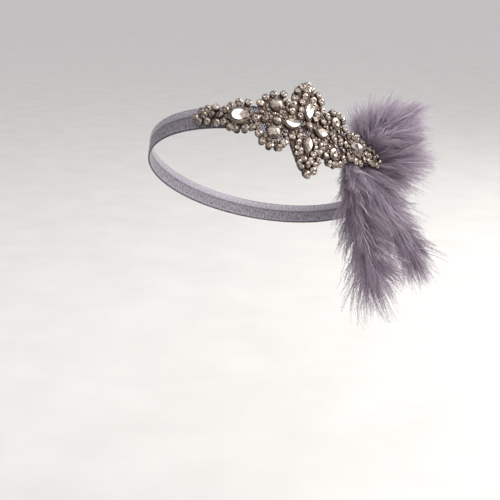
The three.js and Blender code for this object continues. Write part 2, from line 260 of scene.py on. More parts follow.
def placed(path, along, up, out):
    """Points of the part from lengths along a path, up the loop's axis and outwards."""
    point, ahead = path(along)
    out = np.asarray(out, float)
    x = point[..., 0] + ahead[..., 1] * out
    y = point[..., 1] - ahead[..., 0] * out
    return np.stack(np.broadcast_arrays(x, y, up), -1) @ WORN.T


print(f"loop {LOOP_LENGTH:.0f} mm round inside")

# %% [markdown]
# ## Elastic
# The band is fold-over elastic: a knitted strip with a fold line along it. Above the line it is a
# smooth satin that catches the light, below it the knit shows as fine ribs. The section is drawn as a
# closed outline with a groove, a slight crown on each side of it and a corded edge, and swept round
# the loop. The ribs are far finer than a mesh should hold, so they are bump in the material.

# %% Elastic section and sweep
BAND_WIDTH = 14.0
BAND_THICK = 1.2
FOLD_HEIGHT = 1.6
FOLD_DEPTH = 0.35
FOLD_HALF_WIDTH = 0.5
CROWN = 0.12
EDGE_CORD = 0.13
CORD_INSET = 0.25
CORD_HALF_WIDTH = 0.3
OUTSIDE_POINTS = 45
INSIDE_POINTS = 15
EDGE_POINTS = 9
BAND_STEPS = 420


def elastic_section():
    """Outline of the elastic, as distance outwards and height, once round."""
    edge = BAND_THICK / 2
    flat = BAND_WIDTH / 2 - edge
    up = np.linspace(-flat, flat, OUTSIDE_POINTS)
    groove = FOLD_DEPTH * np.exp(-((up - FOLD_HEIGHT) / FOLD_HALF_WIDTH) ** 2)
    upper = np.clip((up - FOLD_HEIGHT) / (flat - FOLD_HEIGHT), 0, 1)
    lower = np.clip((FOLD_HEIGHT - up) / (flat + FOLD_HEIGHT), 0, 1)
    crown = CROWN * (np.sin(math.pi * upper) + np.sin(math.pi * lower))
    cord = EDGE_CORD * np.exp(-((np.abs(up) - flat + CORD_INSET) / CORD_HALF_WIDTH) ** 2)
    outside = np.stack([BAND_THICK - groove + crown + cord - CROWN, up], -1)
    round_edge = np.linspace(math.pi / 2, -math.pi / 2, EDGE_POINTS)[1:-1]
    top = np.stack([edge + edge * np.sin(round_edge), flat + edge * np.cos(round_edge)], -1)
    inside = np.stack([np.zeros(INSIDE_POINTS), np.linspace(flat, -flat, INSIDE_POINTS)], -1)
    bottom = np.stack([edge - edge * np.sin(round_edge), -flat - edge * np.cos(round_edge)], -1)
    return np.concatenate([outside, top, inside, bottom])


section = elastic_section()
band_along = np.linspace(0, LOOP_LENGTH, BAND_STEPS, endpoint=False)
band_points = placed(on_loop, band_along[:, None], section[None, :, 1], section[None, :, 0])
print("elastic section of", len(section), "points")

# %% [markdown]
# The finish of knitted nylon and elastane: a soft lilac knit with a silky sheen. The yarns lie
# lengthwise on the smooth half, so it is glossier, and the other half has ribs across it about a
# millimetre apart. Both are drawn a little coarser than the real knit, so that they show. Its colour
# across the band carries painted light: painted shade at both edges and in the fold, a painted
# highlight along the lower cord, and the smooth half painted lighter as a painted sheen.

# %% Elastic finish
# Sizes along the band and up it.
RIB_MM = (1.1, 1.1 / 0.4)
YARN_MM = (0.6 / 0.35, 0.6)
KNIT_DEPTH_MM = 0.3


def satin_elastic():
    finish, tree, shader = start_finish(
        "knitted satin elastic", Sheen_Weight=0.2, Sheen_Roughness=0.4, Specular_IOR_Level=0.4,
    )
    place = add_node(tree, "ShaderNodeAttribute", attribute_name="strip")
    split = add_node(tree, "ShaderNodeSeparateXYZ", {"Vector": place.outputs["Vector"]})
    across = add_node(tree, "ShaderNodeMapRange", {
        "Value": split.outputs["Y"], "From Min": -BAND_WIDTH / 2, "From Max": BAND_WIDTH / 2,
    })
    # Painted light across the band: painted shade at both edges and in the fold, a painted highlight on the
    # lower cord, and the smooth half lighter as painted sheen.
    cloth_painted_light = add_node(tree, "ShaderNodeValToRGB", {"Fac": across.outputs["Result"]}, [
        (0.0, "4b4650"), (0.05, "5e5862"), (0.1, "8b8590"), (0.19, "7a737e"), (0.53, "78717c"),
        (0.61, "5d5661"), (0.69, "97919c"), (0.93, "a09aa5"), (1.0, "69636e"),
    ])
    smooth_half = add_node(tree, "ShaderNodeMapRange", {
        "Value": split.outputs["Y"], "From Min": FOLD_HEIGHT - FOLD_HALF_WIDTH,
        "From Max": FOLD_HEIGHT + FOLD_HALF_WIDTH,
    })
    knit = []
    for (along_mm, up_mm), detail in ((RIB_MM, 2.0), (YARN_MM, 3.0)):
        scaled = add_node(tree, "ShaderNodeVectorMath", {
            0: place.outputs["Vector"], 1: (1 / along_mm, 1 / up_mm, 0),
        }, operation="MULTIPLY")
        knit.append(add_node(tree, "ShaderNodeTexNoise", {
            "Vector": scaled.outputs["Vector"], "Scale": 1.0, "Detail": detail,
        }))
    texture = add_node(tree, "ShaderNodeMix", {
        "Factor": smooth_half.outputs["Result"],
        "A": knit[0].outputs["Fac"], "B": knit[1].outputs["Fac"],
    })
    weave = add_node(tree, "ShaderNodeMapRange", {
        "Value": texture.outputs["Result"], "From Min": 0.3, "From Max": 0.7, "To Min": 0.5, "To Max": 1.5,
    })
    colour = add_node(tree, "ShaderNodeVectorMath", {
        0: cloth_painted_light.outputs["Color"], 1: weave.outputs["Result"],
    }, operation="MULTIPLY")
    rough = add_node(tree, "ShaderNodeMapRange", {
        "Value": smooth_half.outputs["Result"], "To Min": 0.62, "To Max": 0.36,
    })
    bump = add_node(tree, "ShaderNodeBump", {
        "Height": texture.outputs["Result"], "Strength": 0.5, "Distance": KNIT_DEPTH_MM * MM,
    })
    tree.links.new(colour.outputs["Vector"], shader.inputs["Base Color"])
    tree.links.new(rough.outputs["Result"], shader.inputs["Roughness"])
    tree.links.new(bump.outputs["Normal"], shader.inputs["Normal"])
    return finish


band = make_piece(
    "elastic_band", band_points.reshape(-1, 3),
    grid_faces(BAND_STEPS, len(section), True, True)[:, ::-1],
    satin_elastic(), "elastic", ["band"],
)
strip = np.stack(np.broadcast_arrays(band_along[:, None], section[None, :, 1], 0.0), -1)
strip_place = band.data.attributes.new("strip", "FLOAT_VECTOR", "POINT")
strip_place.data.foreach_set("vector", strip.astype(np.float32).ravel())

# %% [markdown]
# ## Layout of the stones
# One quarter of the wings, of the stones round the ovals and of the flowers is written down, and the
# rest mirrors it. The petals of the star in the middle lean, so they are written out whole. The small
# stones are all set in claw cups. The large stones are ovals, rounds and pointed navettes. The finest
# stones ring the ovals, and finer ones fill what is left, wherever they fit between their neighbours.

# %% Places of the small stones
SMALL_RADIUS = 2.45
CROWDED_RADIUS = 1.85

quarter = {
    "wing point": [(67.6, 0), (64.2, 3.2), (59.8, 4.6), (60.9, 0), (56.4, 0), (55.2, 4.3), (52, 0)],
    "round the oval": [(50, 4.2), (46.8, 7.3), (42.4, 8.7), (37.9, 8.3), (32.2, 0), (26.6, 0)],
    "flower": [(29.8, 9.6), (27.5, 14.5), (23.1, 16.9), (18.2, 16.6), (14.2, 13.4)],
}
petals = {
    "upper edge": [
        (-10, 8.5), (-10.1, 13.2), (-9.4, 17.7), (-8.1, 22), (-6, 25.9), (-2.4, 28.6),
        (1.8, 26.2), (5.4, 23.8), (8.2, 20), (10.3, 15.7), (11, 7.6),
    ],
    "upper second row": [
        (-5.2, 6.5), (-6, 11), (-5.4, 15.5), (-3.8, 19.9), (-1.8, 23.6),
        (1.7, 19.3), (3.7, 15.5), (5.3, 11), (5.2, 6.5),
    ],
    "lower edge": [
        (-9.2, -8.5), (1.6, -28.6), (5.3, -25.9), (7.6, -22), (9.1, -17.7), (9.9, -13.2), (9.8, -8.5),
    ],
    "lower second row": [
        (-5.2, -6.5), (-5.4, -10.8), (-3.9, -15.4), (-1.3, -19.7), (1.6, -23.5),
        (3.3, -19.9), (5.1, -15.5), (6.2, -11), (5.2, -6.5),
    ],
}
# Smaller ones, where the rows crowd each other.
crowded = [(9.2, 11.7), (-7.9, -13.2), (-6.4, -17.5), (-4.2, -21.6), (-1.6, -25.4)]
# Three stones join the ovals to the flowers. The fourth place shows the net, on felt of this size.
joining = [(-34.2, -6.4), (34.2, 6.4), (34.2, -6.4)]
open_felt = (-33.8, 5.4, 3.4, 3.4)
# Along the front edges of the petals the felt is cut smoothly, in rounds of these sizes: along, up and
# half the length each way.
smooth_felt = [
    (-9.8, 15.5, 2.9, 2.9), (-8.8, 19.9, 2.9, 2.9), (-7.1, 24.0, 2.9, 2.9), (-4.2, 27.3, 2.8, 2.8),
    *[(-6.5 + 6.2 * share, -11.5 - 12.2 * share, 4.2, 4.2) for share in np.linspace(0, 1, 8)],
]


def mirrored(rows):
    return np.array(sorted({
        (side * along, rise * up)
        for row in rows.values() for along, up in row for side in (-1, 1) for rise in (-1, 1)
    }))


small_spots = np.concatenate([mirrored(quarter), *petals.values(), joining, crowded])
small_radii = np.full(len(small_spots), SMALL_RADIUS)
small_radii[-len(crowded):] = CROWDED_RADIUS
print(len(small_spots), "small stones")

# %% Places of the large stones, and bare places
# Along, up, half the length each way, and the cut.
large_stones = {
    "oval_left": (-41.8, 0, 7.0, 5.6, "oval"),
    "oval_right": (41.8, 0, 7.0, 5.6, "oval"),
    "rosette_upper_left": (-21.2, 10.2, 4.0, 4.0, "round"),
    "rosette_upper_right": (21.2, 10.2, 4.0, 4.0, "round"),
    "rosette_lower_left": (-21.3, -7.7, 4.0, 4.0, "round"),
    "rosette_lower_right": (21.2, -10.2, 4.0, 4.0, "round"),
    "inner_round_left": (-20.0, 0, 2.5, 2.5, "round"),
    "inner_round_right": (20.0, 0, 2.5, 2.5, "round"),
    "navette_left": (-10.8, 0.2, 6.3, 3.6, "pointed along"),
    "navette_right": (9.7, 0.1, 5.3, 3.4, "pointed along"),
    "navette_upper": (-0.4, 11.0, 3.5, 6.8, "pointed up"),
    "navette_lower": (0.6, -10.6, 3.3, 6.5, "pointed up"),
    "center_round": (1.0, 2.1, 2.4, 2.4, "round"),
}
# Places without stones, where the net or the felt shows: along, up and radius.
net_windows = np.array([
    (-32.9, 6.2, 2.3), (-27.3, -5.2, 2.3), (-15.8, -5.4, 1.3), (-16.2, -9.0, 1.4), (-4.4, 3.8, 1.5),
    (1.7, -2.1, 1.3), (16.2, 1.4, 1.3), (26.2, -5.6, 2.1),
])
# At these gaps the net and the brass are left out, so the felt, painted dark, stands in for the shade
# between the taller stones.
painted_shade_gaps = np.array([
    (-2.3, -0.6, 1.7), (28.9, -5.6, 1.2), (13.8, 8.4, 0.9), (12.8, -16.6, 1.0), (1.6, 21.6, 1.0),
])
bare_places = np.concatenate([net_windows, painted_shade_gaps])
print(len(large_stones), "large stones and", len(bare_places), "bare places")

# %% [markdown]
# ## Felt backing
# The ornament is sewn and glued to a piece of felt. It is cut round the stones, half a millimetre
# inside their outline so that it hardly shows, and smoothly along the front edges of the petals. It is
# one sheet, so it is lofted as a thin closed shell: columns across the ornament, each running from
# the lower edge to the upper one, with a rounded rim.

# %% Felt outline and shell
FELT_BACK = 1.5
FELT_FRONT = 2.7
FELT_MARGIN = -0.5
FELT_LEAST = 1.2
FELT_END_INSET = 0.3
FELT_COLUMNS = 420
FELT_ROWS = 16
RIM_STEPS = np.array([0.0, 0.08, 0.28, 0.6])
everything = np.concatenate([
    np.column_stack([small_spots, small_radii, small_radii]),
    np.array([stone[:4] for stone in large_stones.values()] + [open_felt, *smooth_felt]),
])


def felt_edge(along, side):
    """Height of the scalloped edge, above (side 1) or below (side -1) the centre line."""
    share = (along[..., None] - everything[:, 0]) / (everything[:, 2] + FELT_MARGIN)
    bow = np.sqrt(np.clip(1 - share ** 2, 0, 1))
    reach = side * everything[:, 1] + (everything[:, 3] + FELT_MARGIN) * bow
    return side * np.maximum(np.where(np.abs(share) < 1, reach, 0).max(axis=-1), FELT_LEAST)


def inside_edge(along, up):
    """How far places are inside the nearer edge of the felt."""
    return np.minimum(felt_edge(along, 1) - up, up - felt_edge(along, -1))


felt_along = np.linspace(-1, 1, FELT_COLUMNS) * (ORNAMENT_HALF_LENGTH + FELT_MARGIN - FELT_END_INSET)
felt_low = felt_edge(felt_along, -1)
felt_high = felt_edge(felt_along, 1)


def fullness(inset):
    """How thick the felt is at a distance from its edge, as a share: the rim is half round."""
    return np.sqrt(1 - (1 - np.clip(inset / RIM_STEPS[-1], 0, 1)) ** 2)


flat_share = np.linspace(0, 1, FELT_ROWS)[1:-1]
flat_low = felt_low + RIM_STEPS[-1]
flat_height = felt_high - felt_low - 2 * RIM_STEPS[-1]
flat_up = flat_low[:, None] + flat_share * flat_height[:, None]
front_up = np.concatenate([
    felt_low[:, None] + RIM_STEPS, flat_up, felt_high[:, None] - RIM_STEPS[::-1],
], 1)
front_full = np.concatenate([fullness(RIM_STEPS), np.ones(len(flat_share)), fullness(RIM_STEPS[::-1])])
end_full = fullness(felt_along[-1] - np.abs(felt_along))
felt_up = np.concatenate([front_up, front_up[:, -2:0:-1]], 1)
felt_full = np.concatenate([front_full, -front_full[-2:0:-1]]) * end_full[:, None]
felt_out = (FELT_BACK + FELT_FRONT) / 2 + felt_full * (FELT_FRONT - FELT_BACK) / 2
felt_points = placed(on_ornament, felt_along[:, None], felt_up, felt_out)

# %% [markdown]
# Wool felt has no weave: short fibres lie every way and scatter the light, so it is matt, slightly
# mottled and has a faint fuzz at grazing angles. Two scales of noise give the mottling and the
# fibres, and a little sheen gives the fuzz.

# %% Felt finish
# Single fibres are too fine to show, so they are drawn as tufts of this size.
FIBRE_MM = 0.35
FIBRE_DEPTH_MM = 0.2
MOTTLE_MM = 3.0


def wool_felt():
    finish, tree, shader = start_finish(
        "wool felt", Roughness=0.95, Sheen_Weight=0.5, Sheen_Roughness=0.6, Specular_IOR_Level=0.2,
    )
    place = add_node(tree, "ShaderNodeTexCoord")
    fibres = add_node(tree, "ShaderNodeTexNoise", {
        "Vector": place.outputs["Object"], "Scale": 1 / (FIBRE_MM * MM), "Detail": 4.0, "Distortion": 1.5,
    })
    mottling = add_node(tree, "ShaderNodeTexNoise", {
        "Vector": place.outputs["Object"], "Scale": 1 / (MOTTLE_MM * MM), "Detail": 2.0,
    })
    both = add_node(tree, "ShaderNodeMix", {
        "Factor": 0.4, "A": fibres.outputs["Fac"], "B": mottling.outputs["Fac"],
    })
    # The felt is painted far darker than its own lilac grey: painted shade, for the shade in the gaps
    # between the stones and along the petals' edges.
    colour = add_node(tree, "ShaderNodeValToRGB", {"Fac": both.outputs["Result"]}, [
        (0.3, "261f23"), (0.5, "3a3138"), (0.7, "50464f"),
    ])
    bump = add_node(tree, "ShaderNodeBump", {
        "Height": fibres.outputs["Fac"], "Strength": 0.6, "Distance": FIBRE_DEPTH_MM * MM,
    })
    tree.links.new(colour.outputs["Color"], shader.inputs["Base Color"])
    tree.links.new(bump.outputs["Normal"], shader.inputs["Normal"])
    return finish


felt = make_piece(
    "felt_backing", felt_points.reshape(-1, 3), grid_faces(FELT_COLUMNS, felt_up.shape[1], False, True),
    wool_felt(), "felt", ["backing"],
)

# %% [markdown]
# ## Net
# The cups are threaded to a net of fine lilac yarn that lies on the felt, and it shows as pale
# slanting threads in the wider gaps. Each thread is a narrow ribbon that follows the ornament's
# curve, in two slanting sets, and it stops at the felt's edge.

# %% Net threads
NET_PITCH = 1.6
NET_HALF_WIDTH = 0.18
NET_STEP = 0.8
NET_OUT = FELT_FRONT + 0.3
NET_INSET = 1.2
NET_END_INSET = 2.0
NET_REACH = 32.0
NET_SLANT = 0.55
NET_WEAVE = 0.15


def net_ribbons():
    threads = []
    run = np.arange(-NET_REACH, NET_REACH, NET_STEP)
    half = ORNAMENT_HALF_LENGTH + NET_REACH
    for slant in (-1, 1):
        for start in np.arange(-half, half, NET_PITCH):
            along = start + NET_SLANT * run
            up = slant * run
            lift = NET_OUT + NET_WEAVE * slant * np.cos(run * math.pi / NET_PITCH)
            inside = inside_edge(along, up) > NET_INSET
            inside &= np.abs(along) < ORNAMENT_HALF_LENGTH - NET_END_INSET
            for *middle, radius in painted_shade_gaps:
                inside &= np.hypot(along - middle[0], up - middle[1]) > radius
            sides = [placed(on_ornament, along + w, up, lift) for w in (-NET_HALF_WIDTH, NET_HALF_WIDTH)]
            i = 2 * np.flatnonzero(inside[:-1] & inside[1:])
            threads.append((np.stack(sides, 1).reshape(-1, 3), np.stack([i, i + 1, i + 3, i + 2], -1)))
    points, faces = joined(threads)
    used, faces = np.unique(faces, return_inverse=True)
    return points[used], faces.reshape(-1, 4)


# %% Net finish
TWIST_MM = 0.6


def nylon_thread():
    """Nylon yarn: smooth drawn filaments, so it has a silky highlight."""
    finish, tree, shader = start_finish(
        "nylon thread", Roughness=0.4, Sheen_Weight=0.3, Specular_IOR_Level=0.5,
    )
    mottle(tree, shader, TWIST_MM, 1.0, [(0.35, "aaa3b4"), (0.65, "d8d2df")])
    return finish


make_piece("net_threads", *net_ribbons(), nylon_thread(), "felt", ["stones"])

# %% [markdown]
# ## Brass under the cups
# The cups are linked by thin strips of brass, so that little of the felt shows between the stones.
# They are drawn as one thin sheet just above the net, and the wider gaps are left open. The sheet's
# dark brown is painted shade: it stands for the shade between the stones.

# %% Brass sheet
BRASS_STEP = 0.7
BRASS_HALF = (69, 31)
BRASS_OUT = FELT_FRONT + 0.55
BRASS_INSET = 0.9
BRASS_PATCH_MM = 2.0


def grid_spots(half_along, half_up, step):
    """A grid of places over the ornament, in rows, and the grid's shape."""
    along, up = np.meshgrid(
        np.arange(-half_along, half_along, step), np.arange(-half_up, half_up, step), indexing="ij",
    )
    return np.stack([along.ravel(), up.ravel()], -1), along.shape


def brass_cells():
    spots, shape = grid_spots(*BRASS_HALF, BRASS_STEP)
    inside = inside_edge(spots[:, 0], spots[:, 1]) > BRASS_INSET
    for *middle, radius in bare_places:
        inside &= np.linalg.norm(spots - middle, axis=-1) > radius
    faces = grid_faces(*shape)
    used, faces = np.unique(faces[inside[faces].all(axis=1)], return_inverse=True)
    points = placed(on_ornament, spots[used, 0], spots[used, 1], np.full(len(used), BRASS_OUT))
    return points, faces.reshape(-1, 4)


def brass_painted_shade():
    """Brass of the links, painted a dark dull brown: painted shade, for the shade between the stones."""
    finish, tree, shader = start_finish("brass with painted shade", Metallic=0.6, Roughness=0.5)
    # Painted shade: these dark browns stand for the shade between the stones.
    mottle(tree, shader, BRASS_PATCH_MM, 3.0, [(0.3, "46342a"), (0.7, "756154")])
    return finish


make_piece("brass_sheet_painted_shade", *brass_cells(), brass_painted_shade(), "setting", ["stones"])

# %% [markdown]
# ## Claw cups
# A claw cup is pressed from thin brass and plated: a small bowl whose rim is cut into claws that are
# bent over the stone. One lathe-turned outline makes it. Where a claw stands, the rim rises and leans
# in. The same outline, stretched, makes the settings of the large stones.

# %% Claw cup
# Each row of the outline: reach and height as shares of the cup's radius, and how far a claw moves
# that row inwards and upwards.
CUP_ROWS = np.array([
    (0.00, 0.00, 0.00, 0.00),
    (0.80, 0.00, 0.00, 0.00),
    (0.96, 0.25, 0.00, 0.00),
    (1.00, 0.62, 0.00, 0.00),
    (1.00, 0.70, 0.00, 0.14),
    (0.97, 0.75, 0.03, 0.24),
    (0.88, 0.75, 0.13, 0.32),
    (0.83, 0.70, 0.12, 0.25),
    (0.82, 0.55, 0.00, 0.00),
    (0.00, 0.50, 0.00, 0.00),
])
# A claw starts where the cosine passes the first number and is at its full height after the second.
CLAW_START = 0.45
CLAW_RAMP = 0.4


def claw_cup(claws, sides):
    """Points and faces of a cup of radius 1, standing on height 0."""
    angle = np.arange(sides) * 2 * math.pi / sides
    claw = np.clip((np.cos(claws * angle) - CLAW_START) / CLAW_RAMP, 0, 1)
    reach = CUP_ROWS[:, None, 0] - CUP_ROWS[:, None, 2] * claw
    height = CUP_ROWS[:, None, 1] + CUP_ROWS[:, None, 3] * claw
    points = np.stack([reach * np.cos(angle), reach * np.sin(angle), height], -1)
    return points.reshape(-1, 3), grid_faces(len(CUP_ROWS), sides, False, True)[:, ::-1]


print("a claw cup is turned from", len(CUP_ROWS), "rows")

# %% [markdown]
# ## Cut stones
# Each crystal is cut as a round brilliant is: a table, a ring of star facets, kite facets that reach
# from the table to the girdle, and pairs of girdle facets. The stones are foil-backed, so what the eye
# sees through the table is the mirrored back facets. The table is therefore dished a little into a
# fan of facets, which flash one by one as the view turns.

# %% Brilliant cut
GIRDLE_DEPTH = 0.12
GIRDLE_DRAWN_IN = 0.98
BACK_DEPTH = 0.55
# Faces of the crown for each main, the first of them on the table.
CROWN_FACES = 6


def brilliant(mains, table, crown, dish):
    """Triangles of a cut stone of girdle radius 1, with its girdle at height 0."""
    half = math.pi / mains
    main_angle = np.arange(mains) * 2 * half
    star_reach = (1 + table) / 2
    star_height = crown * (1 - (star_reach * math.cos(half) - table) / (1 - table))
    rings = [
        (table, main_angle, crown),
        (star_reach, main_angle + half, star_height),
        (1.0, np.arange(2 * mains) * half, 0.0),
        (GIRDLE_DRAWN_IN, np.arange(2 * mains) * half, -GIRDLE_DEPTH),
    ]
    points = [np.stack([r * np.cos(a), r * np.sin(a), np.full(len(a), h)], -1) for r, a, h in rings]
    points.append(np.array([[0, 0, crown - dish], [0, 0, -BACK_DEPTH]]))
    star, girdle, under = mains, 2 * mains, 4 * mains
    middle, culet = 6 * mains, 6 * mains + 1
    faces = []
    for k in range(mains):
        after = (k + 1) % mains
        before = (k - 1) % mains
        low = girdle + 2 * k
        side = girdle + 2 * k + 1
        low_after = girdle + 2 * after
        faces += [(middle, k, after), (k, star + k, after)]
        faces += [(k, star + before, low), (k, low, star + k)]
        faces += [(star + k, low, side), (star + k, side, low_after)]
    for j in range(2 * mains):
        after = (j + 1) % (2 * mains)
        faces += [(girdle + j, under + j, under + after), (girdle + j, under + after, girdle + after)]
        faces += [(under + j, culet, under + after)]
    return np.concatenate(points), np.array(faces)


print("a stone of eight mains has", len(brilliant(8, 0.5, 0.3, 0.05)[1]), "facets")


# %% Setting many alike
def seats(spots, out):
    """Origins on the ornament, and axes that point along it, up and outwards."""
    _, ahead = on_ornament(spots[:, 0])
    none = np.zeros(len(spots))
    axes = np.stack([
        np.stack([ahead[:, 0], ahead[:, 1], none], -1),
        np.stack([none, none, none + 1], -1),
        np.stack([ahead[:, 1], -ahead[:, 0], none], -1),
    ], 1)
    return placed(on_ornament, spots[:, 0], spots[:, 1], np.full(len(spots), out)), axes @ WORN.T


def hand_set(axes, lean_deg, rng):
    """The same axes, each turned at random about its own normal and leaned a few degrees."""
    turn = rng.uniform(0, 2 * math.pi, len(axes))
    lean = np.radians(rng.normal(0, lean_deg, (len(axes), 2)))
    along, up, outwards = axes[:, 0], axes[:, 1], axes[:, 2]
    outwards = unit(outwards + lean[:, :1] * along + lean[:, 1:] * up)
    along = np.cos(turn)[:, None] * along + np.sin(turn)[:, None] * up
    along = unit(along - (along * outwards).sum(-1, keepdims=True) * outwards)
    return np.stack([along, np.cross(outwards, along), outwards], 1)


def set_many(points, faces, origins, axes, scale):
    """Copies of one small shape, one for each seat, as joined arrays."""
    scale = np.broadcast_to(np.asarray(scale, float).reshape(-1, 1, 1), (len(origins), 1, 1))
    copies = origins[:, None] + (points[None] * scale) @ axes
    steps = np.arange(len(origins))[:, None, None] * len(points)
    return copies.reshape(-1, 3), (faces[None] + steps).reshape(-1, faces.shape[1])


# %% [markdown]
# ## Finishes of the stones
# The cups are brass with a thin silver plating that has dulled: the metal is greyish and warm, and
# browner where it has rubbed. The crystals are lead glass with a silver foil behind them. Glass in
# front of a mirror sends nearly all the light back, so the facets are shaded as mirrors, and each is
# given a painted reflection as its colour: some bright, some the brown of the setting, and a few
# painted glints.

# %% Metal and crystal finishes
TARNISH_MM = 1.6


def silver_plate():
    finish, tree, shader = start_finish("tarnished silver plate", Metallic=1.0)
    tarnish = mottle(tree, shader, TARNISH_MM, 3.0, [
        (0.3, "584538"), (0.5, "807064"), (0.7, "a3968c"),
    ])
    rough = add_node(tree, "ShaderNodeMapRange", {
        "Value": tarnish.outputs["Fac"], "From Min": 0.3, "From Max": 0.7, "To Min": 0.48, "To Max": 0.3,
    })
    tree.links.new(rough.outputs["Result"], shader.inputs["Roughness"])
    return finish


def foiled_crystal():
    finish, tree, shader = start_finish(
        "foil-backed crystal", Metallic=0.6, Roughness=0.1,
        Coat_Weight=1.0, Coat_Roughness=0.02, Coat_IOR=1.9,
    )
    facet = add_node(tree, "ShaderNodeAttribute", attribute_name="facet")
    # Painted reflection: each facet's colour stands for what it mirrors inside the foiled stone, and the
    # palest are painted glints.
    colour = add_node(tree, "ShaderNodeValToRGB", {"Fac": facet.outputs["Fac"]}, [
        (0.0, "2c1a11"), (0.2, "5b4437"), (0.4, "816e5f"), (0.55, "998676"), (0.7, "b8aa9e"),
        (0.85, "ddd7d2"), (1.0, "ffffff"),
    ])
    tree.links.new(colour.outputs["Color"], shader.inputs["Base Color"])
    return finish


plate = silver_plate()
crystal = foiled_crystal()
print("finishes:", plate.name, "and", crystal.name)

# %% [markdown]
# ## Small, finer and finest stones
# A hand sets the cups, so no two sit quite alike: each is turned about its own axis and leans by a
# few degrees. That is what makes the field glitter, because every stone mirrors another direction.

# %% Shades of the facets
# Limits of the shades on a table and on a crown, the shares of facets that stay dark or spark, and how
# much one stone as a whole differs from the next.
# These shades are painted reflection: each facet gets a tone for what it would mirror, dark or bright, and
# the sparks are painted glints.
SMALL_TABLE = (0.0, 0.45)
SMALL_CROWN = (0.17, 0.54)
DARK_SHARE = 0.26
DARK_SHADE = 0.15
SPARK_SHARE = 0.09
SPARK_SHADE = 0.82
STONE_DIFFERS = 0.07


def facet_shades(stones, per_stone, mains, table, crown, rng):
    """Shades of facets, a row for each stone, between limits for the table and for the crown."""
    number = np.arange(per_stone)
    on_table = (number < CROWN_FACES * mains) & (number % CROWN_FACES == 0)
    size = (stones, per_stone)
    crown = rng.uniform(*crown, size)
    crown = np.where(rng.random(size) < DARK_SHARE, DARK_SHADE, crown)
    crown = np.where(rng.random(size) < SPARK_SHARE, SPARK_SHADE, crown)
    shade = np.where(on_table, rng.uniform(*table, size), crown)
    return np.clip(shade + rng.normal(0, STONE_DIFFERS, (stones, 1)), 0, 1)


# %% Finer stones, where they fit
RING_STONES = 24
FILL_RADII = (1.35, 1.05, 0.8, 0.6, 0.48)
FILL_STEP = 0.4
FILL_HALF = (68, 30)
TOUCH = 0.12
POINTED_POWER = 1.4


def ring(along, up, half_along, half_up):
    """Places of the finest stones round an oval."""
    angle = np.arange(RING_STONES) * 2 * math.pi / RING_STONES
    return np.stack([along + half_along * np.cos(angle), up + half_up * np.sin(angle)], -1)


def outside(spots, along, up, half_along, half_up, cut):
    """Rough distance from spots to a large stone's outline."""
    power = POINTED_POWER if cut.startswith("pointed") else 2.0
    share = np.abs((spots - (along, up)) / (half_along, half_up)) ** power
    return (share.sum(-1) ** (1 / power) - 1) * min(half_along, half_up)


def fill_in():
    """Finer stones, the largest first, wherever one fits between its neighbours and inside the edge."""
    spots, _ = grid_spots(*FILL_HALF, FILL_STEP)
    room = inside_edge(spots[:, 0], spots[:, 1])
    for stone in large_stones.values():
        room = np.minimum(room, outside(spots, *stone))
    round_ones = np.column_stack([small_spots, small_radii])
    for *middle, radius in np.concatenate([round_ones, bare_places]):
        room = np.minimum(room, np.linalg.norm(spots - middle, axis=-1) - radius)
    found = []
    for radius in FILL_RADII:
        while room.max() > radius - TOUCH:
            best = int(np.argmax(np.where(room > radius - TOUCH, -room, -np.inf)))
            found.append((*spots[best], radius))
            room = np.minimum(room, np.linalg.norm(spots - spots[best], axis=-1) - radius)
    return np.array(found)


fills = fill_in()
rings = np.concatenate([ring(*stone[:4]) for stone in large_stones.values() if stone[4] == "oval"])
print(len(fills), "finer stones and", len(rings), "round the ovals")

# %% Small stones in their cups
CUP_BASE = 3.3
LARGE_SEAT = 4.0
STONE_SEED = 11
LEAN_DEG = 11.0
LOOSE_MM = 0.5
CUP_VARIES = (0.88, 1.04)
STONE_SHARE = 0.93
GIRDLE_SHARE = 0.8
SMALL_MAINS = 8
SMALL_CUT = (SMALL_MAINS, 0.5, 0.26, 0.16)
FEW_CLAWS = 4
SMALL_SIDES = 24
FINER_SIDES = 12
RING_RADIUS = 0.86
RING_RISE = 0.6
RING_DARKER = 0.2
rng = np.random.default_rng(STONE_SEED)


def set_stones(name, spots, radius, base, sides, darker=0.0):
    """One mesh of cups and one of crystals for a group of round stones, of one radius or many."""
    radius = radius * rng.uniform(*CUP_VARIES, len(spots))
    origins, axes = seats(spots + rng.normal(0, LOOSE_MM, spots.shape), base)
    axes = hand_set(axes, LEAN_DEG, rng)
    points, faces = set_many(*claw_cup(FEW_CLAWS, sides), origins, axes, radius)
    make_piece(f"{name}_cups", points, faces, plate, "setting", ["stones"])
    heart = origins + axes[:, 2] * (GIRDLE_SHARE * radius)[:, None]
    cut_points, cut_faces = brilliant(*SMALL_CUT)
    points, faces = set_many(cut_points, cut_faces, heart, axes, radius * STONE_SHARE)
    shades = facet_shades(len(spots), len(cut_faces), SMALL_MAINS, SMALL_TABLE, SMALL_CROWN, rng)
    make_piece(
        f"{name}_crystals", points, faces, crystal, "crystal", ["stones"],
        smooth=False, facet=np.maximum(shades.ravel() - darker, 0),
    )


set_stones("small", small_spots, small_radii, CUP_BASE, SMALL_SIDES)
set_stones("finer", fills[:, :2], fills[:, 2], CUP_BASE, FINER_SIDES)
set_stones("ring", rings, RING_RADIUS, LARGE_SEAT + RING_RISE, FINER_SIDES, RING_DARKER)

# %% [markdown]
# ## Large stones
# The ovals, rounds and navettes use the same cut and the same cup, stretched to their outline. A
# navette comes to a point at both ends: the outline is drawn in towards its long axis. Ovals stand in
# the middle of their ring of finest stones, so their own cup is smaller than the whole setting.

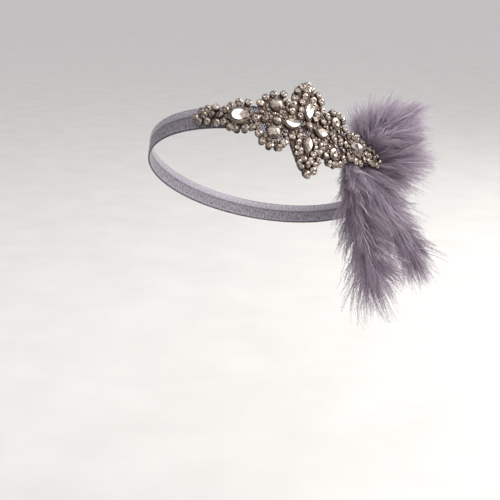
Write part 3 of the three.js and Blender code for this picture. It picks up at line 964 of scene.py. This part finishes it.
# %% Cuts and flashes of the large stones
# Height of the setting and of the crown, the table's share, its dish, the number of mains, and the
# share of the outline that the stone's own cup takes up.
LARGE_CUTS = {
    "oval": (1.9, 1.1, 0.7, 0.03, 12, 0.93),
    "round": (1.5, 0.7, 0.5, 0.3, 10, 1.0),
    "pointed along": (1.4, 1.1, 0.78, 0.03, 12, 1.0),
    "pointed up": (1.4, 1.1, 0.78, 0.03, 12, 1.0),
}
LARGE_SHADES = (0.05, 0.85)
# How each table flashes: the direction of the lit part in degrees from along, half its spread, its
# shade, and the share of their shade that the other facets keep.
# The lit part is a painted highlight: its table facets take the pale shade whatever the lamps do, and the
# other facets are painted darker by their share.
FLASH = {
    "oval_left": (180, 125, 1.0, 0.7),
    "oval_right": (80, 45, 0.95, 0.7),
    "navette_left": (-90, 118, 1.0, 0.7),
    "navette_upper": (-105, 130, 1.0, 0.7),
    "navette_lower": (10, 45, 1.0, 0.7),
    "navette_right": (-45, 40, 1.0, 0.3),
    "rosette_upper_left": (60, 40, 0.5, 0.55),
    "rosette_upper_right": (-60, 20, 0.85, 0.55),
    "rosette_lower_left": (100, 40, 0.6, 0.55),
    "rosette_lower_right": (-110, 20, 0.85, 0.55),
    "inner_round_left": (90, 40, 0.6, 0.55),
    "inner_round_right": (0, 40, 0.7, 0.55),
    "center_round": (100, 40, 0.6, 0.55),
}
SETTING_HEIGHT = 0.95
MANY_CLAWS = 8
FEW_CLAWS_BELOW = 3.0
LARGE_SIDES = 64
print(len(FLASH), "tables that flash")


# %% Large stones in their settings
def drawn_to(points, half_along, half_up, cut):
    """A round shape of radius 1 drawn out to a stone's outline. Heights stay."""
    reach = np.hypot(points[:, 0], points[:, 1]) + 1e-9
    along = points[:, 0] * half_along
    up = points[:, 1] * half_up
    if cut == "pointed up":
        along = along * np.abs(points[:, 0]) / reach
    if cut == "pointed along":
        up = up * np.abs(points[:, 1]) / reach
    return np.stack([along, up, points[:, 2]], -1)


large_cups = []
for name, (along, up, half_along, half_up, cut) in large_stones.items():
    rise, crown, table, dish, mains, share = LARGE_CUTS[cut]
    origins, axes = seats(np.array([(along, up)]), LARGE_SEAT)
    cup, faces = claw_cup(FEW_CLAWS if half_along < FEW_CLAWS_BELOW else MANY_CLAWS, LARGE_SIDES)
    cup = drawn_to(cup * (1, 1, rise / SETTING_HEIGHT), half_along * share, half_up * share, cut)
    large_cups.append(set_many(cup, faces, origins, axes, 1.0))
    points, faces = brilliant(mains, table, 1.0, dish)
    inside = share * STONE_SHARE
    points = drawn_to(points * (1, 1, crown) + (0, 0, rise), half_along * inside, half_up * inside, cut)
    points, faces = set_many(points, faces, origins, axes, 1.0)
    towards, half_spread, bright, quiet = FLASH[name]
    facet_angle = (np.arange(mains) + 0.5) * 360 / mains
    lit = np.abs((facet_angle - towards + 180) % 360 - 180) < half_spread
    shades = facet_shades(1, len(faces), mains, LARGE_SHADES, LARGE_SHADES, rng)[0] * quiet
    on_table = slice(0, CROWN_FACES * mains, CROWN_FACES)
    # Painted highlight: the lit table facets take the bright shade.
    shades[on_table] = np.where(lit, bright, shades[on_table])
    make_piece(
        f"{name}_crystal", points, faces, crystal, "crystal", [name],
        smooth=False, facet=shades,
    )
make_piece("large_cups", *joined(large_cups), plate, "setting", ["stones"])

# %% [markdown]
# ## Marabou feathers
# Marabou is down: a soft quill carries long barbs, and every barb carries hundreds of fine barbules,
# so that the feather is a cloud with wispy points. Neighbouring barbs cling together in locks, and a
# few stray. Hair curves would render well, but they leave no mesh behind. Here each barb and barbule
# is a narrow ribbon that tapers to a point, and all the ribbons of a feather are one mesh. Real ones
# are too fine to show, so the ribbons are wider, and fewer. The quills and the spread of the barbs
# follow the solid plumes.

# %% Feather sizes
# Lead is a step along and up the ornament. Bend and tip are steps left, back and up from the seat.
# First and last are where the barbs start and end on the quill. Angles and lengths are the barbs' at
# the first and the last, the lengths for the left and the right of the quill as seen from its root.
# Fan is the spread of the tuft at its end, and dye_and_shade is how pale the barbs are, at the first and
# last: partly their dyed colour and partly painted shade, so the falls, which hang in shade, are
# painted darker, and darker towards their ends.
# Lean is how far the barbs stand out in front of the quill, or behind it where it is negative.
feathers = {
    "crest_feather": {
        "node": "plume_upper", "seat": (57, 3), "lead": (2, 11), "bend": (0, 11, 18), "tip": (23, 35, 16),
        "first": 0.3, "last": 0.86, "angles": (70, 38), "left": (28, 22), "right": (27, 20),
        "dye_and_shade": (0.78, 0.82), "lean": 3, "fan": 46,
    },
    "side_feather": {
        "node": "plume_upper", "seat": (60, -1), "lead": (8, 0), "bend": (5, 18, -3), "tip": (17, 31, 1),
        "first": 0.4, "last": 0.84, "angles": (62, 42), "left": (27, 19), "right": (33, 22),
        "dye_and_shade": (0.7, 0.78), "lean": 9, "fan": 44,
    },
    "front_fall_feather": {
        "node": "plume_lower", "seat": (40, -5), "lead": (-1, -10), "bend": (7, 4, -50),
        "tip": (18, 25, -105), "first": 0.16, "last": 0.8, "angles": (30, 42), "left": (22, 38),
        "right": (12, 44), "dye_and_shade": (0.78, 0.56), "lean": 3, "fan": 50,
    },
    "back_fall_feather": {
        "node": "plume_lower", "seat": (54, -4), "lead": (3, -10), "bend": (10, 17, -33),
        "tip": (36, 60, -92), "first": 0.22, "last": 0.82, "angles": (42, 28), "left": (38, 31),
        "right": (42, 37), "dye_and_shade": (0.74, 0.62), "lean": -6, "fan": 36,
    },
}
print(len(feathers), "feathers")

# %% Barb sizes
# The early barbs are short and sit below the place called first. Varies says how locks differ, as
# limits or a spread, and own how much each barb differs besides.
QUILL_OUT = 0.2
QUILL_RADIUS = 0.8
QUILL_TAPER = 1.6
QUILL_RIBBONS = 4
QUILL_FADE = 0.2
QUILL_SHADE = 0.5
BARBS = 1500
BARB_STEPS = 8
BARB_WIDTH = 0.4
BARB_TAPER = 0.7
BEND_STEP = (0.35, 0.65)
EARLY_SHARE = 0.45
EARLY_SPREAD = -0.4
EARLY_LENGTH = 12
ANGLE_VARIES = 7
ANGLE_OWN = 4
FAN_OWN = 5
LENGTH_VARIES = (0.74, 1.04)
LENGTH_OWN = 0.05
ROLL_VARIES = 0.75
ROLL_OWN = 0.25
BEND_LOOSE = 1.4
TIP_LOOSE = 2.0
WAVE = 0.45
WAVES = 1.4
TUFT_SHARE = 0.2
LOOK_AHEAD = 0.01
LOCK_BARBS = 12
LOCK_PULL = 0.65
# Strays stand out from the front of the feather, and are wider, paler and nearly bare.
STRAY_SHARE = 0.04
STRAY_ROLL = (0.5, 1.3)
STRAY_WIDEN = 1.7
STRAY_PALER = 0.3
STRAY_BARE = 0.35
# Barbules: their length at a barb's root and the least length, how fast they grow shorter, and their
# angle at root and tip. Each has two halves, and the second bends back towards the barb.
BARBULES = 32
BARBULE_LENGTH = 6.5
BARBULE_LEAST = 0.7
BARBULE_SHORTEN = 1.1
BARBULE_VARIES = (0.5, 1)
BARBULE_HALVES = (0.55, 0.5)
BARBULE_BEND = 0.6
BARBULE_LOOSE = 0.2
BARBULE_WIDTHS = (0.18, 0.144, 0.0)
BARBULE_FADES = (0, 0.12, 0.25)
BARBULE_END = 0.97
BARBULE_ANGLES = (44, 16)
BARBULE_ANGLE_OWN = 6
SHADE_VARIES = (0.84, 1.06)
print(len(feathers) * BARBS * (1 + BARBULES), "barbs and barbules")


# %% Lines of the barbs
def bezier(corners, share):
    """Points on a Bezier curve, or on many at once, by repeated mixing of neighbours."""
    while len(corners) > 1:
        corners = [a + (b - a) * share for a, b in zip(corners, corners[1:])]
    return corners[0]


def quill_line(feather):
    along, up = feather["seat"]
    lead_along, lead_up = feather["lead"]
    seat = placed(on_ornament, along, up, QUILL_OUT)
    lead = placed(on_ornament, along + lead_along, up + lead_up, QUILL_OUT)
    return [seat, lead, seat + feather["bend"], seat + feather["tip"]]


def barb_lines(feather, stray, rng):
    """Centre lines of the barbs, as an array of barbs, steps along each, and x, y and z.
    Neighbours on one side of the quill form a lock: their ends gather to the first one's."""
    quill = quill_line(feather)
    first, last = feather["first"], feather["last"]
    order = (np.arange(BARBS) + rng.random(BARBS)) / BARBS * (1 + TUFT_SHARE)
    in_tuft = order > 1
    early = EARLY_SHARE * first
    share = early + (last - early) * np.minimum(order, 1)
    root = bezier(quill, share[:, None])
    ahead = unit(bezier(quill, share[:, None] + LOOK_AHEAD) - root)
    spread = (share - first) / (last - first)
    side = np.arange(BARBS) % 2
    leader = np.arange(BARBS) // LOCK_BARBS * LOCK_BARBS + side

    def varied(draw, *limits, own):
        """Random numbers that a lock of barbs shares, with a smaller part of each barb's own."""
        return draw(*limits, BARBS)[leader] + rng.normal(0, own, BARBS)

    angle = np.interp(spread, (0, 1), feather["angles"]) + varied(rng.normal, 0, ANGLE_VARIES, own=ANGLE_OWN)
    fan = varied(rng.uniform, 0, feather["fan"], own=FAN_OWN)
    angle = np.radians(np.where(in_tuft, fan, angle))
    left, right = [
        np.interp(spread, (EARLY_SPREAD, 0, 1), (EARLY_LENGTH, *feather[way])) for way in ("left", "right")
    ]
    length = np.where(side, right, left) * varied(rng.uniform, *LENGTH_VARIES, own=LENGTH_OWN)
    face = seats(np.array([feather["seat"]]), 0)[1][0, 2]
    sideways = unit(np.cross(face, ahead)) * np.where(side, -1, 1)[:, None]
    stray_roll = rng.uniform(*STRAY_ROLL, BARBS)
    roll = np.where(stray, stray_roll, varied(rng.normal, 0, ROLL_VARIES, own=ROLL_OWN))[:, None]
    aside = sideways * np.cos(roll) + face * np.sin(roll)

    def step(forward, out):
        reach = np.sin(angle) * out
        return (
            root
            + ahead * (np.cos(angle) * forward * length)[:, None]
            + aside * (reach * length)[:, None]
            + face * (feather["lean"] * reach)[:, None]
        )

    bend = step(*BEND_STEP) + rng.normal(0, BEND_LOOSE, (BARBS, 3))
    tip = step(1.0, 1.0) + rng.normal(0, TIP_LOOSE, (BARBS, 3))
    run = np.linspace(0, 1, BARB_STEPS)[None, :, None]
    lines = bezier([root[:, None], bend[:, None], tip[:, None]], run)
    pull = np.where(stray, 0, LOCK_PULL)[:, None, None] * run ** 2
    lines = lines + (lines[leader] - lines) * pull
    phase = rng.uniform(0, 2 * math.pi, (BARBS, 1, 3))
    return lines + WAVE * run * np.sin(run * 2 * math.pi * WAVES + phase)


def barbule_lines(barbs, stray, rng):
    """Short curved lines that leave each barb all round, and grow shorter towards its tip."""
    share = (np.arange(BARBULES) + rng.random((BARBS, BARBULES))) / BARBULES * BARBULE_END
    place = share * (BARB_STEPS - 1)
    step = np.minimum(place.astype(int), BARB_STEPS - 2)
    row = np.arange(BARBS)[:, None]
    before, after = barbs[row, step], barbs[row, step + 1]
    root = before + (after - before) * (place - step)[..., None]
    ahead = unit(after - before)
    aside = unit(np.cross(ahead, rng.normal(0, 1, ahead.shape)))
    angle = np.interp(share, (0, 1), BARBULE_ANGLES) + rng.normal(0, BARBULE_ANGLE_OWN, share.shape)
    angle = np.radians(angle)[..., None]
    length = BARBULE_LENGTH * (1 - share) ** BARBULE_SHORTEN
    length = length * rng.uniform(*BARBULE_VARIES, share.shape) + BARBULE_LEAST
    length = (length * np.where(stray, STRAY_BARE, 1)[:, None])[..., None]
    bend = root + (ahead * np.cos(angle) + aside * np.sin(angle)) * length * BARBULE_HALVES[0]
    bent = ahead + aside * np.sin(angle) * BARBULE_BEND + rng.normal(0, BARBULE_LOOSE, ahead.shape)
    tip = bend + unit(bent) * length * BARBULE_HALVES[1]
    return np.stack([root, bend, tip], 2).reshape(-1, 3, 3), share.reshape(-1, 1)


# %% Behind the ornament
TUCK_DEPTH = 0.3


def tucked(points):
    """Points that would come through the ornament, moved back behind its felt."""
    flat = points @ WORN
    arm = flat[..., :2] - (leave + inwards * FREE_RADIUS)
    out = np.linalg.norm(arm, axis=-1) - FREE_RADIUS
    along = FREE_FROM + FREE_RADIUS * np.arctan2(arm @ leave_ahead, -arm @ inwards)
    covered = (along < ORNAMENT_HALF_LENGTH) & (inside_edge(along, flat[..., 2]) > 0)
    back = np.where(covered, np.maximum(out - FELT_BACK + TUCK_DEPTH, 0), 0)[..., None]
    outwards = np.concatenate([unit(arm), np.zeros((*arm.shape[:-1], 1))], -1)
    return points - back * outwards @ WORN.T


# %% Ribbons
def ribbons(lines, widths, rng):
    """Narrow ribbons along many lines, each ending in a point: points, and triangles."""
    count, steps, _ = lines.shape
    ahead = unit(np.gradient(lines, axis=1))
    flat = unit(np.cross(ahead, rng.normal(0, 1, (count, 1, 3))))
    half = flat * (np.asarray(widths) / 2)[..., None]
    sides = np.stack([lines - half, lines + half], 2)[:, :-1].reshape(count, -1, 3)
    points = np.concatenate([sides, lines[:, -1:]], 1)
    corner = np.arange(steps - 2) * 2
    last = 2 * steps - 4
    faces = np.concatenate([
        np.stack([corner, corner + 1, corner + 3], -1),
        np.stack([corner, corner + 3, corner + 2], -1),
        [(last, last + 1, last + 2)],
    ])
    steps_on = (np.arange(count) * (2 * steps - 1))[:, None, None]
    return points.reshape(-1, 3), (faces[None] + steps_on).reshape(-1, 3)


def ribbon_map(fade, shade, steps):
    """Map of the same ribbons: how faded each point is, and each ribbon's own shade."""
    fade = np.broadcast_to(fade, (len(shade), steps))
    both = np.stack([fade, np.broadcast_to(shade[:, None], fade.shape)], -1)
    return np.concatenate([np.repeat(both[:, :-1], 2, 1), both[:, -1:]], 1).reshape(-1, 2)


# %% [markdown]
# The colour of dyed down: a plum lilac near the quill that fades to a pale greyish lilac at the wispy
# points, and the darker root is painted shade, for the shade deep in the down by the quill. Each
# ribbon carries two numbers as its map: how far along the barb it is, and a shade of its own, and the
# material reads both. Down is so fine that light passes through it, so part of the light is let
# through to the other side.

# %% Down finish
def dyed_down():
    finish, tree, shader = start_finish(
        "dyed marabou down", Roughness=0.8, Specular_IOR_Level=0.25, Sheen_Weight=0.3, Sheen_Roughness=0.5,
    )
    place = add_node(tree, "ShaderNodeUVMap", uv_map="OFBake")
    split = add_node(tree, "ShaderNodeSeparateXYZ", {"Vector": place.outputs["UV"]})
    # Painted shade: the colour along each barb is darker at the root, for the shade deep in the down.
    fade = add_node(tree, "ShaderNodeValToRGB", {"Fac": split.outputs["X"]}, [
        (0.0, "cfc5d1"), (0.4, "e1d9e3"), (1.0, "f8f4f8"),
    ])
    # The ribbon's own shade, which carries the painted shade of the falls.
    dye_and_shade = add_node(tree, "ShaderNodeValToRGB", {"Fac": split.outputs["Y"]}, [
        (0.0, "594a58"), (0.5, "a69aa8"), (1.0, "f6f1f6"),
    ])
    colour = add_node(tree, "ShaderNodeVectorMath", {
        0: fade.outputs["Color"], 1: dye_and_shade.outputs["Color"],
    }, operation="MULTIPLY")
    through = add_node(tree, "ShaderNodeBsdfTranslucent", {"Color": colour.outputs["Vector"]})
    both = add_node(tree, "ShaderNodeMixShader", {
        "Fac": 0.55, 1: shader.outputs["BSDF"], 2: through.outputs["BSDF"],
    })
    tree.links.new(colour.outputs["Vector"], shader.inputs["Base Color"])
    tree.links.new(both.outputs["Shader"], tree.nodes["Material Output"].inputs["Surface"])
    return finish


down = dyed_down()
print("finish:", down.name)

# %% Feathers
FEATHER_SEED = 100


def make_feather(name, feather, rng):
    """The quill, its barbs and their barbules, as one mesh of ribbons."""
    stray = rng.random(BARBS) < STRAY_SHARE
    barbs = tucked(barb_lines(feather, stray, rng))
    fine, root_share = barbule_lines(barbs, stray, rng)
    run = np.linspace(0, 1, BARB_STEPS)
    quill = bezier(quill_line(feather), feather["last"] * run[:, None])
    # Painted shade: dye_and_shade darkens the falls, and their later barbs most.
    dye_and_shade = np.linspace(*feather["dye_and_shade"], BARBS)
    shade = np.where(stray, np.minimum(dye_and_shade + STRAY_PALER, 1), dye_and_shade * rng.uniform(*SHADE_VARIES, BARBS))
    fade = np.where(stray[:, None], 1.0, run)
    barb_width = BARB_WIDTH * np.where(stray, STRAY_WIDEN, 1)
    fine_fade = np.clip(root_share + np.array(BARBULE_FADES), 0, 1)
    groups = [
        (
            np.repeat(quill[None], QUILL_RIBBONS, 0), QUILL_RADIUS * (2 - QUILL_TAPER * run),
            QUILL_FADE, np.full(QUILL_RIBBONS, QUILL_SHADE),
        ),
        (barbs, barb_width[:, None] * (1 - run) ** BARB_TAPER, fade, shade),
        (tucked(fine), BARBULE_WIDTHS, fine_fade, np.repeat(shade, BARBULES)),
    ]
    shapes = [ribbons(lines, widths, rng) for lines, widths, _, _ in groups]
    maps = [ribbon_map(faded, shades, lines.shape[1]) for lines, _, faded, shades in groups]
    make_piece(name, *joined(shapes), down, "marabou", [feather["node"]], uv=np.concatenate(maps))


for number, (name, feather) in enumerate(feathers.items()):
    make_feather(name, feather, np.random.default_rng(FEATHER_SEED + number))

# %% [markdown]
# ## Floor and light
# A plain pale floor lies well below the band. One large soft panel hangs high to the wearer's left,
# where the tables of many stones mirror it, and a lower one further round lights the other end of the
# ornament. Three small panels add sharp glints. The world is a plain pale sky, brighter overhead.

# %% Floor
FLOOR_HEIGHT = -235.0
FLOOR_HALF = 15000.0
UNEVEN_MM = 60


def pale_floor():
    """Matt painted board, with a very faint unevenness."""
    finish, tree, shader = start_finish("matt painted board", Roughness=0.85, Specular_IOR_Level=0.2)
    mottle(tree, shader, UNEVEN_MM, 3.0, [(0.3, "d3d1cf"), (0.7, "d9d7d5")])
    return finish


corners = np.array([(-1, -1), (1, -1), (1, 1), (-1, 1)]) * FLOOR_HALF * MM
floor_mesh = bpy.data.meshes.new("floor")
floor_mesh.from_pydata([(x, y, FLOOR_HEIGHT * MM) for x, y in corners], [], [(0, 1, 2, 3)])
floor_mesh.materials.append(pale_floor())
floor = bpy.data.objects.new("floor", floor_mesh)
bpy.context.scene.collection.objects.link(floor)
print("floor at", FLOOR_HEIGHT, "mm")

# %% Lights
PANEL_DISTANCE = 1.3
PANEL_TINT = "fffdf8"
GLINT_SIZE = (0.36, 0.36)
# Azimuth and height in degrees, size in metres, and watts. Azimuth 0 is in front, along -Y, and 90 is
# on the wearer's left, along +X.
panels = {
    "sky_panel": (61, 50, 1.9, 1.5, 9.8),
    "side_panel": (130, 28, 1.2, 0.7, 9.5),
    "glint_panel_-25": (-25, 62, *GLINT_SIZE, 1.0),
    "glint_panel_114": (114, 46, *GLINT_SIZE, 2.5),
    "glint_panel_146": (146, 26, *GLINT_SIZE, 2.5),
}
for name, (azimuth_deg, height_deg, wide, high, watts) in panels.items():
    azimuth, height = math.radians(azimuth_deg), math.radians(height_deg)
    towards = np.array([
        math.sin(azimuth) * math.cos(height), -math.cos(azimuth) * math.cos(height), math.sin(height),
    ])
    light = bpy.data.lights.new(name, "AREA")
    light.shape = "RECTANGLE"
    light.size, light.size_y = wide, high
    light.energy = watts
    light.color = hex_colour(PANEL_TINT)[:3]
    panel = bpy.data.objects.new(name, light)
    panel.location = towards * PANEL_DISTANCE
    panel.rotation_euler = (math.pi / 2 - height, 0, azimuth)
    bpy.context.scene.collection.objects.link(panel)
print(len(panels), "panels of light")

# %% World
# The direction in which the sky grows brighter: up, and a little to the wearer's left.
SKY_SIDE = (0.3, 0.05, 0.92)
SKY_STRENGTH = 1.25
world = bpy.data.worlds.new("studio")
world.use_nodes = True
sky = world.node_tree
place = add_node(sky, "ShaderNodeTexCoord")
height = add_node(sky, "ShaderNodeVectorMath", {
    0: place.outputs["Generated"], 1: SKY_SIDE,
}, operation="DOT_PRODUCT")
glow = add_node(sky, "ShaderNodeValToRGB", {"Fac": height.outputs["Value"]}, [
    (0.0, "88888c"), (0.35, "a2a2a6"), (0.9, "f4f4f4"),
])
sky.links.new(glow.outputs["Color"], sky.nodes["Background"].inputs["Color"])
sky.nodes["Background"].inputs["Strength"].default_value = SKY_STRENGTH
bpy.context.scene.world = world
bpy.context.scene.view_settings.view_transform = "Standard"
print("world set:", world.name)
